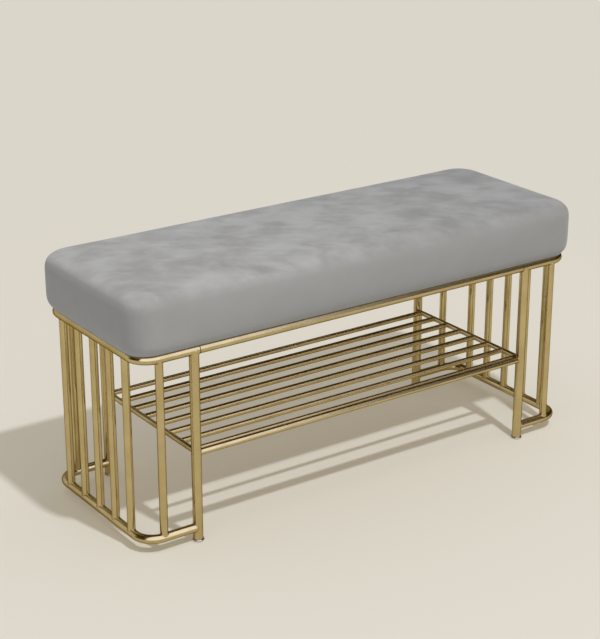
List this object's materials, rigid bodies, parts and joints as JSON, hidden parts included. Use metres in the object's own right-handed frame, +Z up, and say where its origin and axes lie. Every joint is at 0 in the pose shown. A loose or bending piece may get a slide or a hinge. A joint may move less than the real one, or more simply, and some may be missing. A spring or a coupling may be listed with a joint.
{
  "type": "shoe rack bench",
  "caption": "Hallway bench with a padded velvet seat on a plated tube frame, rounded barred ends and a rod shelf under the seat for shoes.",
  "frame": {"origin": "on the floor, under the middle of the bench", "axes": "+X along the bench to the right end, +Y from the front to the back, +Z up"},
  "size_m": [1, 0.3542, 0.4827],
  "materials": {
    "satin_brass": "satin brass plating on steel tube",
    "polished_nickel": "polished",
    "grey_velvet": "short velvet pile",
    "foam": "open-cell foam",
    "black_cloth": "non-woven cloth",
    "plywood": "sanded, unfinished",
    "black_plastic": "moulded",
    "zinc_steel": "zinc plated"
  },
  "bodies": {
    "bench": {"back_left_insert": "black_plastic", "back_left_post": "satin_brass", "back_right_insert": "black_plastic", "back_right_post": "satin_brass", "back_seat_rail": "satin_brass", "dust_cover": "black_cloth", "front_left_insert": "black_plastic", "front_left_post": "satin_brass", "front_right_insert": "black_plastic", "front_right_post": "satin_brass", "front_seat_rail": "satin_brass", "left_back_bar": "satin_brass", "left_base_rail": "satin_brass", "left_end_bar_1": "satin_brass", "left_end_bar_2": "satin_brass", "left_end_bar_3": "satin_brass", "left_end_bar_4": "satin_brass", "left_end_bar_5": "satin_brass", "left_front_bar": "satin_brass", "left_seat_strap": "satin_brass", "left_shelf_tube": "satin_brass", "left_top_bend": "satin_brass", "middle_seat_strap": "satin_brass", "right_back_bar": "satin_brass", "right_base_rail": "satin_brass", "right_end_bar_1": "satin_brass", "right_end_bar_2": "satin_brass", "right_end_bar_3": "satin_brass", "right_end_bar_4": "satin_brass", "right_end_bar_5": "satin_brass", "right_front_bar": "satin_brass", "right_seat_strap": "satin_brass", "right_shelf_tube": "satin_brass", "right_top_bend": "satin_brass", "seat_board": "plywood", "seat_cover": "grey_velvet", "seat_foam": "foam", "seat_screws": "zinc_steel", "seat_washers": "zinc_steel", "shelf_front_rail": "satin_brass", "shelf_rod_1": "satin_brass", "shelf_rod_2": "satin_brass", "shelf_rod_3": "satin_brass", "shelf_rod_4": "satin_brass", "shelf_rod_5": "satin_brass", "shelf_rod_6": "satin_brass", "shelf_rod_7": "satin_brass", "shelf_rod_8": "satin_brass", "tee_nuts": "zinc_steel"},
    "front_left_leveller": {"front_left_foot": "polished_nickel"},
    "front_right_leveller": {"front_right_foot": "polished_nickel"},
    "back_left_leveller": {"back_left_foot": "polished_nickel"},
    "back_right_leveller": {"back_right_foot": "polished_nickel"}
  },
  "joints": [
    {"name": "front_left_levelling", "type": "slide", "parent": "bench", "child": "front_left_leveller", "axis": [0, 0, -1], "range_m": [0, 0.01]},
    {"name": "front_right_levelling", "type": "slide", "parent": "bench", "child": "front_right_leveller", "axis": [0, 0, -1], "range_m": [0, 0.01]},
    {"name": "back_left_levelling", "type": "slide", "parent": "bench", "child": "back_left_leveller", "axis": [0, 0, -1], "range_m": [0, 0.01]},
    {"name": "back_right_levelling", "type": "slide", "parent": "bench", "child": "back_right_leveller", "axis": [0, 0, -1], "range_m": [0, 0.01]}
  ]
}
